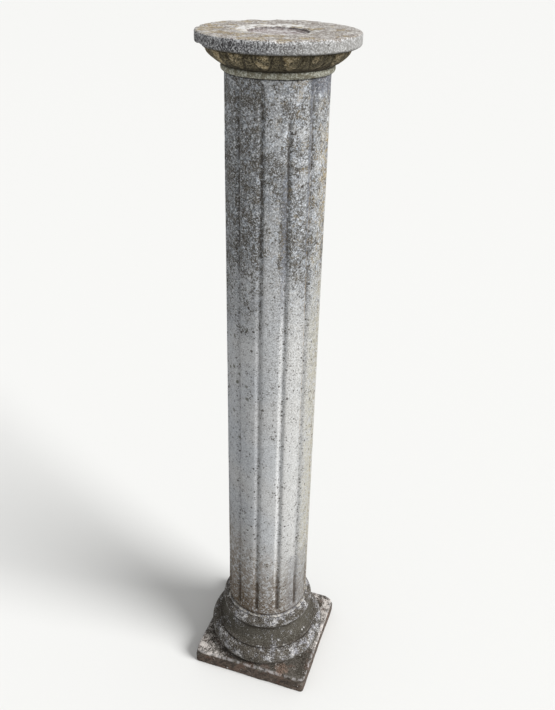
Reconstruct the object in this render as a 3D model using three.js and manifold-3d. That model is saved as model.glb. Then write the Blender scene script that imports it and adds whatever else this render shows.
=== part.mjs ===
// Weathered cast-stone column: a moulded base on a square plinth, a grooved shaft and a round capital.
// Millimetres, +Z up. The origin is the centre of the plinth's underside, and the plinth's sides run
// along X and Y. The three castings stand on each other with thin dry joints.

import * as THREE from 'three';
import { mergeVertices } from 'three/addons/utils/BufferGeometryUtils.js';
import Module from 'manifold-3d';

const wasm = await Module();
wasm.setup();

// Joints between the castings
const bedJoint = 0.3;

// Base casting, from the ground up
const plinthWidth = 229;
const plinthHeight = 32;
const plinthCornerRadius = 6;
const plinthEdgeWear = 2.5;
const torusSetback = 0.5;
const torusHeight = 40;
const lowerFilletHeight = 4;
const lowerFilletStep = 15.5;
const scotiaHeight = 36;
const scotiaThroat = 20;
const scotiaDepth = 17;
const upperTorusHeight = 24;
const upperTorusOverhang = 12.4;
const rimHeight = 4;
const rimOverhang = 3.3;

// Shaft
const shaftLength = 1005.9;
const shaftFootRadius = 77;
const shaftTopRadius = 75.8;
const shaftEdgeWear = 1.5;
const shaftTurn = 2.3;
const grooveCount = 12;
const grooveWidth = 12.5;
const grooveDepth = 4;
const grooveBottom = 0.16;
const grooveFootMargin = 11;
const grooveTopMargin = 4;
const grooveTopFade = 40;
const grooveTopShare = 0.55;
const wornGroove = 10;
const wornGrooveLoss = 52;

// Capital
const beadHeight = 11;
const beadOverhang = 5.6;
const beadJointStep = 0.8;
const echinusHeight = 24.5;
const echinusProjection = 22;
const echinusFootStep = 1;
const eggCount = 16;
const eggTurn = 6.2;
const eggHalfShare = 0.24;
const eggTaper = 0.32;
const eggFlankSink = 1.5;
const eggGrooveShare = 0.36;
const eggGrooveDepth = 5;
const dartSink = 1.6;
const slabHeight = 18;
const slabOverhang = 11.5;
const slabTopWear = 3;
const slabUnderWear = 5;
const recessRadius = 42;
const recessDepth = 6;
const recessLipWidth = 13;
const recessLipFall = 1.6;

// Breaks: where each one sits on its casting, and how large it is
const torusNotchAngle = -35;
const torusNotchSize = 7;
const plinthChipOffset = 28;
const plinthChipSize = 5;
const plinthBreakOffset = 62;
const plinthBreakSize = 8;
const slabChipAngle = 118;
const slabChipSize = 9;

// How each kind of break is stretched along X, Y and Z
const flatNotch = new THREE.Vector3(1.2, 1.2, 0.7);
const shortChip = new THREE.Vector3(2.2, 0.8, 0.8);
const longChip = new THREE.Vector3(2.4, 0.5, 0.5);
const rimScallop = new THREE.Vector3(1.5, 0.7, 0.5);

// Facets round the base, round each corner of its plinth, across a groove and up the echinus
const baseSegments = 60;
const cornerSegments = 4;
const grooveFacets = 6;
const bandFacets = 3;
const echinusFacets = 6;

const degrees = Math.PI / 180;

// Angles about a moulding's own middle, in degrees from straight out
const roundLow = -80;
const roundHigh = 80;
const hollowLow = 255;
const hollowThroat = 180;
const hollowHigh = 100;
const beadLow = -55;
const beadHigh = 55;
const straightDown = -90;

// How the echinus's rows crowd to its foot, and how quickly its carving runs out at both ends
const echinusCrowding = 1.3;
const carvingRunOut = 0.6;

const stone = {
  base: new THREE.MeshStandardMaterial({ color: 0x8a857c, roughness: 0.95, metalness: 0 }),
  shaft: new THREE.MeshStandardMaterial({ color: 0xa9a69f, roughness: 0.93, metalness: 0 }),
  capital: new THREE.MeshStandardMaterial({ color: 0x9a958a, roughness: 0.95, metalness: 0 }),
};

// Keeps the positions alone and joins those that meet, so that the faces close into one skin.
function welded(geometry) {
  const plain = geometry.clone();
  plain.deleteAttribute('normal');
  plain.deleteAttribute('uv');
  return mergeVertices(plain, 1e-4);
}

function toSolid(geometry) {
  const skin = welded(geometry);
  const mesh = new wasm.Mesh({
    numProp: 3,
    vertProperties: new Float32Array(skin.attributes.position.array),
    triVerts: new Uint32Array(skin.index.array),
  });
  return new wasm.Manifold(mesh);
}

function fromSolid(solid) {
  const mesh = solid.getMesh();
  const geometry = new THREE.BufferGeometry();
  geometry.setAttribute('position', new THREE.BufferAttribute(new Float32Array(mesh.vertProperties), 3));
  geometry.setIndex(new THREE.BufferAttribute(new Uint32Array(mesh.triVerts), 1));
  geometry.computeVertexNormals();
  return geometry;
}

// Turns an outline of radii and heights round the Z axis.
function turned(outline, segments) {
  const geometry = new THREE.LatheGeometry(outline, segments);
  geometry.rotateX(Math.PI / 2);
  return geometry;
}

// Turns an outline into a skin whose points the carving then moves. Each point is given as its outline
// row and its step round the axis, and carve answers with an angle, a radius and a height.
function carved(outline, segments, carve) {
  const geometry = new THREE.LatheGeometry(outline, segments);
  const positions = geometry.attributes.position;
  for (let step = 0; step <= segments; step += 1) {
    for (let row = 0; row < outline.length; row += 1) {
      const { angle, radius, height } = carve(step % segments, outline[row]);
      const index = step * outline.length + row;
      positions.setXYZ(index, radius * Math.cos(angle), radius * Math.sin(angle), height);
    }
  }
  const skin = welded(geometry);
  skin.computeVertexNormals();
  return skin;
}

// Points along a round stretch of an outline, from one angle to another about a centre.
function arc(centreRadius, centreHeight, reachRadius, reachHeight, from, to, count) {
  const points = [];
  for (let i = 0; i <= count; i += 1) {
    const angle = (from + ((to - from) * i) / count) * degrees;
    const radius = centreRadius + reachRadius * Math.cos(angle);
    points.push(new THREE.Vector2(radius, centreHeight + reachHeight * Math.sin(angle)));
  }
  return points;
}

function point(radius, height) {
  return new THREE.Vector2(radius, height);
}

// A lump of broken-out stone: a rough ball, stretched and set where the break is.
function breakLump(size, stretch, place) {
  const lump = new THREE.IcosahedronGeometry(size, 1);
  lump.scale(stretch.x, stretch.y, stretch.z);
  lump.translate(place.x, place.y, place.z);
  return toSolid(lump);
}

function polar(radius, angle, height) {
  return new THREE.Vector3(radius * Math.cos(angle * degrees), radius * Math.sin(angle * degrees), height);
}

// Heights of the base's mouldings
const torusTop = plinthHeight + torusHeight;
const lowerFilletTop = torusTop + lowerFilletHeight;
const scotiaTop = lowerFilletTop + scotiaHeight;
const upperTorusTop = scotiaTop + upperTorusHeight;
const baseTop = upperTorusTop + rimHeight;

// Radii of the base's mouldings
const torusReach = plinthWidth / 2 - torusSetback;
const lowerFilletRadius = torusReach - lowerFilletStep;
const rimRadius = shaftFootRadius + rimOverhang;
const upperTorusReach = shaftFootRadius + upperTorusOverhang;
const scotiaTopRadius = rimRadius;
const scotiaRadius = lowerFilletRadius - scotiaDepth;

function plinth() {
  const inner = plinthWidth / 2 - plinthEdgeWear;
  const round = plinthCornerRadius;
  const outline = new THREE.Shape();
  outline.moveTo(inner - round, -inner);
  outline.absarc(inner - round, -inner + round, round, -Math.PI / 2, 0, false);
  outline.absarc(inner - round, inner - round, round, 0, Math.PI / 2, false);
  outline.absarc(-inner + round, inner - round, round, Math.PI / 2, Math.PI, false);
  outline.absarc(-inner + round, -inner + round, round, Math.PI, Math.PI * 1.5, false);
  const slab = new THREE.ExtrudeGeometry(outline, {
    depth: plinthHeight - 2 * plinthEdgeWear,
    bevelEnabled: true,
    bevelThickness: plinthEdgeWear,
    bevelSize: plinthEdgeWear,
    bevelSegments: 2,
    curveSegments: cornerSegments,
  });
  slab.translate(0, 0, plinthEdgeWear);
  return toSolid(slab);
}

function baseMouldings() {
  const sink = plinthHeight / 2;
  const torusHalf = torusHeight / 2;
  const upperHalf = upperTorusHeight / 2;
  const outline = [
    point(0, sink),
    point(lowerFilletRadius - plinthEdgeWear, sink),
    ...arc(torusReach - torusHalf, plinthHeight + torusHalf, torusHalf, torusHalf, roundLow, roundHigh, 6),
    point(lowerFilletRadius, torusTop),
    point(lowerFilletRadius, lowerFilletTop),
    ...scotia(),
    ...arc(upperTorusReach - upperHalf, scotiaTop + upperHalf, upperHalf, upperHalf, roundLow, roundHigh, 4),
    point(rimRadius, upperTorusTop),
    point(rimRadius, baseTop),
    point(0, baseTop),
  ];
  return toSolid(turned(outline, baseSegments));
}

// The hollow moulding: a long sweep up to its throat and a short one above it, as it was run.
function scotia() {
  const throat = lowerFilletTop + scotiaThroat;
  const lowReach = lowerFilletRadius - scotiaRadius;
  const highReach = scotiaTopRadius - scotiaRadius;
  const low = arc(lowerFilletRadius, throat, lowReach, scotiaThroat, hollowLow, hollowThroat, 3);
  const high = arc(scotiaTopRadius, throat, highReach, scotiaTop - throat, hollowThroat, hollowHigh, 2);
  return [...low, ...high.slice(1)];
}

function makeBase() {
  const half = plinthWidth / 2;
  let solid = plinth().add(baseMouldings());
  const notch = polar(lowerFilletRadius + torusNotchSize, torusNotchAngle, torusTop);
  const chip = new THREE.Vector3(plinthChipOffset, -half, plinthHeight);
  const longBreak = new THREE.Vector3(plinthBreakOffset, -half, plinthHeight);
  const breaks = [
    breakLump(torusNotchSize, flatNotch, notch),
    breakLump(plinthChipSize, shortChip, chip),
    breakLump(plinthBreakSize, longChip, longBreak),
  ];
  for (const lump of breaks) {
    solid = solid.subtract(lump);
  }
  return fromSolid(solid);
}

// Heights where the shaft's and the capital's castings begin
const shaftBottom = baseTop + bedJoint;
const shaftTop = shaftBottom + shaftLength;
const capitalBottom = shaftTop + bedJoint;

const facetsPerPitch = grooveFacets + bandFacets;

// How deep the groove is across its width: two nearly flat walls that meet in a narrow round bottom.
function grooveSection(share) {
  return Math.max(0, (1 - Math.hypot(share, grooveBottom)) / (1 - grooveBottom));
}

function makeShaft() {
  const halfGroove = grooveWidth / 2;
  const grooveHead = shaftLength - grooveTopMargin;
  const wornHead = grooveHead - wornGrooveLoss;
  const radiusAt = (height) => THREE.MathUtils.lerp(shaftFootRadius, shaftTopRadius, height / shaftLength);
  const third = shaftLength / 3;
  const endStep = halfGroove / 3;
  const rows = [
    shaftEdgeWear,
    grooveFootMargin,
    grooveFootMargin + endStep,
    grooveFootMargin + halfGroove,
    third,
    2 * third,
    wornHead - halfGroove,
    wornHead,
    grooveHead - halfGroove,
    grooveHead - endStep,
    grooveHead,
    shaftLength - shaftEdgeWear,
  ];
  const outline = [
    point(0, 0),
    point(radiusAt(0) - shaftEdgeWear, 0),
    ...rows.map((height) => point(radiusAt(height), height)),
    point(radiusAt(shaftLength) - shaftEdgeWear, shaftLength),
    point(0, shaftLength),
  ];
  // The groove's end is round: it narrows and runs out over its own half width.
  const endShare = (height, head) => {
    const fromEnd = Math.min(height - grooveFootMargin, head - height) / halfGroove;
    const inside = THREE.MathUtils.clamp(fromEnd, 0, 1);
    return Math.sqrt(1 - (1 - inside) ** 2);
  };
  // Weather has worn the grooves shallower towards the shaft's top.
  const topShare = (height) => {
    const below = THREE.MathUtils.smoothstep(shaftLength - height, 0, grooveTopFade);
    return THREE.MathUtils.lerp(grooveTopShare, 1, below);
  };
  const pitch = (2 * Math.PI) / grooveCount;
  const halfAngle = halfGroove / shaftFootRadius;
  const carve = (step, { x: radius, y: height }) => {
    const groove = Math.floor(step / facetsPerPitch);
    const place = step % facetsPerPitch;
    const centre = groove * pitch + shaftTurn * degrees;
    if (place > grooveFacets) {
      const across = (place - grooveFacets) / bandFacets;
      const angle = centre + THREE.MathUtils.lerp(halfAngle, pitch - halfAngle, across);
      return { angle, radius, height };
    }
    const full = endShare(height, groove === wornGroove ? wornHead : grooveHead);
    const share = (2 * place) / grooveFacets - 1;
    const depth = grooveDepth * full * topShare(height) * grooveSection(share);
    return { angle: centre + share * halfAngle * (1 + full) / 2, radius: radius - depth, height };
  };
  const geometry = carved(outline, grooveCount * facetsPerPitch, carve);
  geometry.translate(0, 0, shaftBottom);
  return geometry;
}

// One egg and the dart beside it: places across the pitch from the egg's crown, and how deep each is cut
const eggPlaces = [
  { across: 0, cut: 0 },
  { across: eggHalfShare, cut: eggFlankSink },
  { across: eggGrooveShare, cut: eggGrooveDepth },
  { across: 0.5, cut: dartSink },
  { across: 1 - eggGrooveShare, cut: eggGrooveDepth },
  { across: 1 - eggHalfShare, cut: eggFlankSink },
];

function makeCapital() {
  const beadRadius = shaftTopRadius + beadOverhang;
  const beadHalf = beadHeight / 2;
  const echinusFoot = beadRadius + echinusFootStep;
  const echinusTop = beadHeight + echinusHeight;
  const slabRadius = echinusFoot + echinusProjection + slabOverhang;
  const slabTop = echinusTop + slabHeight;
  const ovolo = (share) => {
    const radius = echinusFoot + echinusProjection * (1 - (1 - share) ** 2);
    return point(radius, beadHeight + share * echinusHeight);
  };
  const echinus = [];
  for (let i = 1; i <= echinusFacets; i += 1) {
    echinus.push(ovolo((i / echinusFacets) ** echinusCrowding));
  }
  const underWear = arc(
    slabRadius - slabUnderWear, echinusTop + slabUnderWear, slabUnderWear, slabUnderWear, straightDown, 0, 2,
  );
  const outline = [
    point(0, 0),
    point(shaftTopRadius + beadJointStep - shaftEdgeWear, 0),
    ...arc(beadRadius - beadOverhang, beadHalf, beadOverhang, beadHalf, beadLow, beadHigh, 2),
    ...echinus,
    ...underWear,
    point(slabRadius, slabTop - slabTopWear),
    point(slabRadius - slabTopWear, slabTop),
    point(recessRadius + recessLipWidth, slabTop),
    point(recessRadius, slabTop - recessLipFall),
    point(recessRadius - recessLipFall, slabTop - recessDepth),
    point(0, slabTop - recessDepth),
  ];
  const pitch = (2 * Math.PI) / eggCount;
  const carve = (step, { x: radius, y: height }) => {
    const egg = Math.floor(step / eggPlaces.length);
    const { across, cut } = eggPlaces[step % eggPlaces.length];
    const share = THREE.MathUtils.clamp((height - beadHeight) / echinusHeight, 0, 1);
    const inEchinus = share > 0 && share < 1;
    // The egg narrows to its lower end, so the places beside it close in on its crown there.
    const narrow = inEchinus ? 1 - eggTaper * (1 - share) ** 2 : 1;
    const nextCrown = across > 0.5 ? 1 : 0;
    const turn = across === 0.5 ? across : nextCrown + (across - nextCrown) * narrow;
    // The carving runs out at the moulding's foot and under the slab.
    const depth = inEchinus ? cut * Math.sin(Math.PI * share) ** carvingRunOut : 0;
    return { angle: (egg + turn) * pitch + eggTurn * degrees, radius: radius - depth, height };
  };
  const skin = carved(outline, eggCount * eggPlaces.length, carve);
  const rimChip = breakLump(slabChipSize, rimScallop, polar(slabRadius, slabChipAngle, slabTop));
  const geometry = fromSolid(toSolid(skin).subtract(rimChip));
  geometry.translate(0, 0, capitalBottom);
  return geometry;
}

function named(name, geometry, material) {
  const mesh = new THREE.Mesh(geometry, material);
  mesh.name = name;
  return mesh;
}

const column = new THREE.Group();
column.add(named('base', makeBase(), stone.base));
column.add(named('shaft', makeShaft(), stone.shaft));
column.add(named('capital', makeCapital(), stone.capital));

export default column;
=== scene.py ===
"""Weathered cast-stone column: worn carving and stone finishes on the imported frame."""

import itertools
import math

import bpy
import numpy as np
from mathutils import Matrix, Vector


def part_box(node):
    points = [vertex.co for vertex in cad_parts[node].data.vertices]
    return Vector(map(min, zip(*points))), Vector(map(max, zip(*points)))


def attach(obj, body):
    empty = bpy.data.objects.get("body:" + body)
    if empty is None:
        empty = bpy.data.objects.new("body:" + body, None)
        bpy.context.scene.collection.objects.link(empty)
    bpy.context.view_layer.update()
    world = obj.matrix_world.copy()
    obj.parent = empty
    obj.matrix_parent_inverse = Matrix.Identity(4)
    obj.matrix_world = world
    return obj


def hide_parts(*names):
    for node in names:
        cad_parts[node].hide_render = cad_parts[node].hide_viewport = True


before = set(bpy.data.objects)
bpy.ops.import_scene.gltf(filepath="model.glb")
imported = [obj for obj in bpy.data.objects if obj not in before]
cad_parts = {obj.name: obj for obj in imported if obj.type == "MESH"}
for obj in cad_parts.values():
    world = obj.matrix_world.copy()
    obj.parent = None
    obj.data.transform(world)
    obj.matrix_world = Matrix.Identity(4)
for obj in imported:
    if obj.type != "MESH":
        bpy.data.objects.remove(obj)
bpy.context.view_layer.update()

MM = 0.001

# Where the castings begin and end, from the frame
BASE_LOW, BASE_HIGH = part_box("base")
SHAFT_LOW, SHAFT_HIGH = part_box("shaft")
CAPITAL_LOW, CAPITAL_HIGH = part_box("capital")

# Base
PLINTH_HALF = BASE_HIGH.x
PLINTH_HEIGHT = 32 * MM
PLINTH_CORNER = 6 * MM
PLINTH_EDGE = 2.6 * MM
TORUS_HEIGHT = 40 * MM
TORUS_REACH = PLINTH_HALF - 0.5 * MM
FILLET_HEIGHT = 4 * MM
FILLET_RADIUS = TORUS_REACH - 15.5 * MM
SCOTIA_HEIGHT = 36 * MM
SCOTIA_RADIUS = FILLET_RADIUS - 17 * MM
UPPER_TORUS_HEIGHT = 24 * MM
FILLET_LOW = PLINTH_HEIGHT + TORUS_HEIGHT
FILLET_HIGH = FILLET_LOW + FILLET_HEIGHT
SCOTIA_TOP = FILLET_HIGH + SCOTIA_HEIGHT
RIM_LOW = SCOTIA_TOP + UPPER_TORUS_HEIGHT

# Shaft
FOOT_RADIUS = 77 * MM
TOP_RADIUS = 75.8 * MM
RIM_RADIUS = FOOT_RADIUS + 3.3 * MM
UPPER_TORUS_REACH = FOOT_RADIUS + 12.4 * MM
GROOVE_COUNT = 12
GROOVE_WIDTH = 12.5 * MM
GROOVE_DEPTH = 4 * MM
GROOVE_FOOT_MARGIN = 11 * MM
GROOVE_TOP_MARGIN = 4 * MM
GROOVE_TOP_FADE = 40 * MM
WORN_GROOVE = 10
WORN_LOSS = 52 * MM
SHAFT_TURN = math.radians(2.3)

# Capital
BEAD_HEIGHT = 11 * MM
BEAD_TOP = CAPITAL_LOW.z + BEAD_HEIGHT
BEAD_RADIUS = TOP_RADIUS + 5.6 * MM
ECHINUS_HEIGHT = 24.5 * MM
SLAB_LOW = BEAD_TOP + ECHINUS_HEIGHT
ECHINUS_FOOT = BEAD_RADIUS + 1 * MM
ECHINUS_PROJECTION = 22 * MM
EGG_COUNT = 16
EGG_TURN = math.radians(6.2)
SLAB_RADIUS = CAPITAL_HIGH.x
RECESS_RADIUS = 42 * MM
RECESS_DEPTH = 6 * MM
LIP_RADIUS = 56 * MM

# The photograph's camera, found from the column's outline
FOCAL_PIXELS = 771.1
IMAGE_HEIGHT = 710
SENSOR = 36.0
CAMERA_YAW = 0.00785
CAMERA_PITCH = 0.51870
CAMERA_ROLL = 0.02345
CAMERA_DISTANCE = 1.1393
CAMERA_HEIGHT = 1.3362
COLUMN_TURN = 0.32146

# The sun's turn to the right of the camera, its rise and its softness in degrees
SUN_TURN = 62
SUN_RISE = 36
SUN_SOFTNESS = 30
SUN_POWER = 3.93
SKY_STRENGTH = 0.48
FLOOR_HALF = 80.0

# How many points the meshes have round and up
BASE_COLUMNS = 560
SHAFT_COLUMNS_PER_GROOVE = 22
SHAFT_RINGS = 366
CAPITAL_COLUMNS_PER_EGG = 28

# Numbers that stir a place on the lattice into an even spread of values
STIR = np.array([374761393, 668265263, 1440662683])
STIR_SEED = 362437
STIR_AGAIN = 1274126177
LOW_32_BITS = 0xFFFFFFFF
LOW_16_BITS = 0xFFFF

# Weathering: how many sizes of lumps, and the reach of holes in shares of their spacing
OCTAVES = 3
SMALLEST_HOLE = 0.12
HOLE_RANGE = 0.2
TINY = 1e-12


def smooth(value, low, high):
    """Rises smoothly from 0 at low to 1 at high."""
    part = np.clip((value - low) / (high - low), 0, 1)
    return part * part * (3 - 2 * part)


def lattice(cell, seed):
    """Gives each point of a whole-number lattice its own fixed value from 0 to 1."""
    n = ((cell * STIR).sum(axis=-1) + seed * STIR_SEED) & LOW_32_BITS
    n = ((n ^ (n >> 13)) * STIR_AGAIN) & LOW_32_BITS
    return ((n ^ (n >> 16)) & LOW_16_BITS) / LOW_16_BITS


def noise(points, size, seed):
    """Smooth lumps of about that size, from -1 to 1."""
    cell = np.floor(points / size).astype(np.int64)
    part = smooth(points / size - cell, 0, 1)
    total = np.zeros(points.shape[:-1])
    for corner in itertools.product((0, 1), repeat=3):
        weight = np.where(corner, part, 1 - part)
        total += weight[..., 0] * weight[..., 1] * weight[..., 2] * lattice(cell + corner, seed)
    return total * 2 - 1


def rough(points, size, seed):
    """Lumps with finer lumps on them, from -1 to 1."""
    total = np.zeros(points.shape[:-1])
    strengths = [0.5 ** octave for octave in range(OCTAVES)]
    for octave, strength in enumerate(strengths):
        total += strength * noise(points, size / 2 ** octave, seed + octave)
    return total / sum(strengths)


def holes(points, spacing, share, seed):
    """Round holes scattered through the stone: 1 at the middle of one, 0 outside it."""
    scaled = points / spacing
    widest = SMALLEST_HOLE + HOLE_RANGE
    deepest = np.zeros(points.shape[:-1])
    for step in itertools.product((-1, 0, 1), repeat=3):
        cell = np.floor(scaled).astype(np.int64) + step
        middle = cell + np.stack([lattice(cell, seed + axis) for axis in range(3)], axis=-1)
        chance = lattice(cell, seed + 3)
        reach = SMALLEST_HOLE + HOLE_RANGE * lattice(cell, seed + 4)
        distance = np.linalg.norm(scaled - middle, axis=-1)
        depth = np.clip(1 - (distance / reach) ** 2, 0, 1) * reach / widest
        deepest = np.maximum(deepest, np.where(chance < share, depth, 0))
    return deepest


def facing(points):
    """The way out of each point of a grid, from its neighbours."""
    along = np.gradient(points, axis=0)
    around = np.roll(points, -1, axis=1) - np.roll(points, 1, axis=1)
    out = np.cross(around, along)
    return out / np.maximum(np.linalg.norm(out, axis=-1, keepdims=True), TINY)


def pushed(points, amount):
    """Moves each point of a grid out along its own facing."""
    return points + facing(points) * amount[..., None]


def dented(points, centre, reach, inward, depth, seed):
    """Breaks stone out round a point: a rough-edged scoop, depth deep along inward."""
    raggedness, grain, steepness = 0.25, 0.8, 1.8
    offset = (points - np.array(centre)) / np.array(reach)
    distance = np.linalg.norm(offset, axis=-1)
    edge = 1 + raggedness * rough(points, min(reach) * grain, seed)
    amount = depth * np.clip((edge - distance) * steepness, 0, 1)
    way = np.array(inward, dtype=float)
    return points + way / np.linalg.norm(way) * amount[..., None]


def spread(points, times):
    """Averages each point of a grid with its neighbours, several times over."""
    for _ in range(times):
        around = np.roll(points, 1, axis=1) + np.roll(points, -1, axis=1)
        padded = np.concatenate([points[:1], points, points[-1:]])
        points = 0.5 * points + 0.125 * (around + padded[:-2] + padded[2:])
    return points


def hollows(points, times, depth):
    """How far each point lies below its surroundings, from -1 on an edge to 1 in a hollow."""
    below = np.sum((spread(points, times) - points) * facing(points), axis=-1)
    return np.clip(below / depth, -1, 1)


def build(name, points, material, node, marks):
    """Makes one closed piece from a grid of rings, the first and last drawn together to a pole."""
    rings, columns, _ = points.shape
    vertices = np.concatenate([points.reshape(-1, 3), points[[0, -1]].mean(axis=1)])
    here = np.arange(rings * columns).reshape(rings, columns)
    beside = np.roll(here, -1, axis=1)
    quads = np.stack([here[:-1], beside[:-1], beside[1:], here[1:]], axis=-1).reshape(-1, 4)
    low_pole, high_pole = here.size, here.size + 1
    fans = [(low_pole, b, a) for a, b in zip(here[0].tolist(), beside[0].tolist())]
    fans += [(high_pole, a, b) for a, b in zip(here[-1].tolist(), beside[-1].tolist())]
    mesh = bpy.data.meshes.new(name)
    mesh.from_pydata(vertices.tolist(), [], quads.tolist() + fans)
    mesh.update()
    mesh.shade_smooth()
    marks["small_hollows"] = hollows(points, 4, 0.5 * MM)
    for mark, values in marks.items():
        attribute = mesh.attributes.new(mark, "FLOAT", "POINT")
        flat = np.concatenate([values.reshape(-1), [0.0, 0.0]]).astype(np.float32)
        attribute.data.foreach_set("value", flat)
    mesh.materials.append(material)
    piece = bpy.data.objects.new(name, mesh)
    bpy.context.scene.collection.objects.link(piece)
    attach(piece, "root")
    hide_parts(node)
    return piece


def to_grid(radii, heights, angles):
    """Turns radii and heights, ring by ring, into points round the axis."""
    return np.stack([radii * np.cos(angles), radii * np.sin(angles), heights], axis=-1)


def arc_rings(middle, radius, height, start, end, count):
    """Rings along a round moulding, from one angle to another about the moulding's own middle."""
    turn = np.radians(np.linspace(start, end, count))
    middle_radius, middle_height = middle
    return [(middle_radius + radius * math.cos(a), middle_height + height * math.sin(a)) for a in turn]


def line_rings(start, end, count):
    """Rings along a straight stretch, its end left out."""
    return list(np.linspace(start, end, count, endpoint=False))


def square_reach(angles, half, corner):
    """How far a square with round corners reaches in each direction."""
    folded = np.abs((angles + math.pi / 4) % (math.pi / 2) - math.pi / 4)
    flat = half / np.cos(folded)
    inner = half - corner
    along = inner * (np.cos(folded) + np.sin(folded))
    round_corner = along + np.sqrt(np.maximum(along ** 2 - 2 * inner ** 2 + corner ** 2, 0))
    on_side = half * np.tan(folded) <= inner
    return np.where(on_side, flat, round_corner)


def plinth_rings(angles):
    """The plinth's underside, sides and top, as rings drawn out to its square outline."""
    rings = []
    wear = PLINTH_EDGE * (1 + 0.5 * np.sin(angles * 3 + 0.6) * np.sin(angles * 7 + 1.1))

    def add(inset, height):
        reach = square_reach(angles, PLINTH_HALF - inset, PLINTH_CORNER)
        rings.append((reach, height * np.ones_like(angles)))

    reach = square_reach(angles, PLINTH_HALF, PLINTH_CORNER)
    for share in (0.25, 0.5, 0.75, 0.9, 0.97):
        rings.append((reach * share, np.zeros_like(angles)))
    for turn in (0, 30, 60, 90):
        a = math.radians(turn)
        add(wear * (1 - math.sin(a)), wear * (1 - math.cos(a)))
    sides = 15
    for i in range(1, sides):
        add(0, wear + (PLINTH_HEIGHT - 2 * wear) * i / sides)
    for turn in (0, 22, 45, 68, 90):
        a = math.radians(turn)
        add(wear * (1 - math.cos(a)), PLINTH_HEIGHT - wear * (1 - math.sin(a)))
    inner = TORUS_REACH - 17.5 * MM
    outer = square_reach(angles, PLINTH_HALF - wear, PLINTH_CORNER)
    steps = 16
    for i in range(1, steps):
        share = i / steps
        rings.append((outer + (inner - outer) * share, np.full_like(angles, PLINTH_HEIGHT)))
    return rings


def base_rings():
    """The round mouldings from the plinth's top up to the shaft's foot."""
    torus_half = TORUS_HEIGHT / 2
    torus_middle = (TORUS_REACH - torus_half, PLINTH_HEIGHT + torus_half)
    upper_half = UPPER_TORUS_HEIGHT / 2
    upper_middle = (UPPER_TORUS_REACH - upper_half, SCOTIA_TOP + upper_half)
    rim_high = BASE_HIGH.z
    rings = arc_rings(torus_middle, torus_half, torus_half, -78, 76, 32)
    rings += [(FILLET_RADIUS, FILLET_LOW - 0.2 * MM), (FILLET_RADIUS + 0.5 * MM, FILLET_LOW + 0.8 * MM)]
    fillet_edge = (FILLET_RADIUS + 0.6 * MM, FILLET_LOW + 1.6 * MM)
    rings += line_rings(fillet_edge, (FILLET_RADIUS, FILLET_HIGH - 0.6 * MM), 2)
    rings += [(FILLET_RADIUS - 0.6 * MM, FILLET_HIGH), (FILLET_RADIUS - 1.6 * MM, FILLET_HIGH + 0.4 * MM)]
    scotia_reach = FILLET_RADIUS - 2 * MM - SCOTIA_RADIUS
    for share in np.linspace(0.04, 1, 22):
        turn = share * math.pi / 2
        radius = SCOTIA_RADIUS + scotia_reach * (1 - math.sin(turn))
        rings.append((radius, FILLET_HIGH + (SCOTIA_HEIGHT - 1 * MM) * (1 - math.cos(turn)) + 0.3 * MM))
    rings += arc_rings(upper_middle, upper_half, upper_half, -70, 74, 20)
    rings += [(RIM_RADIUS - 0.4 * MM, RIM_LOW), (RIM_RADIUS, RIM_LOW + 0.8 * MM)]
    rings += [(RIM_RADIUS, rim_high - 1.1 * MM), (RIM_RADIUS - 0.4 * MM, rim_high - 0.3 * MM)]
    rings += [(RIM_RADIUS - 1.2 * MM, rim_high), (FOOT_RADIUS, rim_high - 0.2 * MM)]
    rings += [(FOOT_RADIUS * 0.9, rim_high - 0.2 * MM), (FOOT_RADIUS * 0.4, rim_high - 0.2 * MM)]
    return rings


# Breaks on the base: centre in millimetres, reach along X, Y and Z, way in, depth
FIRST_BASE_BREAK_SEED = 40
BASE_BREAKS = [
    ((89, -62, 72), (8, 8, 5), (-0.6, 0.4, -1), 4.5),
    ((98, -58, 60), (5, 7, 12), (-1, 0.5, 0), 2.5),
    ((28, -114, 32), (9, 5, 6), (0, 1, -1), 4.0),
    ((8, -114, 32), (14, 4, 4), (0, 1, -1), 2.5),
    ((62, -114, 32), (17, 5, 4), (0, 1, -0.7), 3.2),
    ((98, -114, 32), (9, 5, 4), (0, 1, -0.7), 2.4),
    ((-60, -114, 32), (20, 3, 3), (0, 1, -1), 1.5),
    ((-112, -112, 30), (12, 12, 14), (1, 1, -0.6), 3.5),
    ((112, -112, 30), (10, 10, 12), (-1, 1, -0.6), 3.0),
    ((113, 108, 30), (16, 14, 14), (-1, -1, -0.6), 4.0),
    ((-112, 112, 28), (11, 9, 10), (1, -1, -0.6), 3.0),
    ((114, 20, 32), (4, 16, 4), (-1, 0, -1), 2.4),
    ((-114, 35, 32), (4, 12, 4), (1, 0, -1), 2.2),
    ((-40, 114, 32), (15, 4, 4), (0, -1, -1), 2.6),
]


def in_metres(values):
    """Lengths given in millimetres, turned into metres."""
    return [value * MM for value in values]


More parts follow.
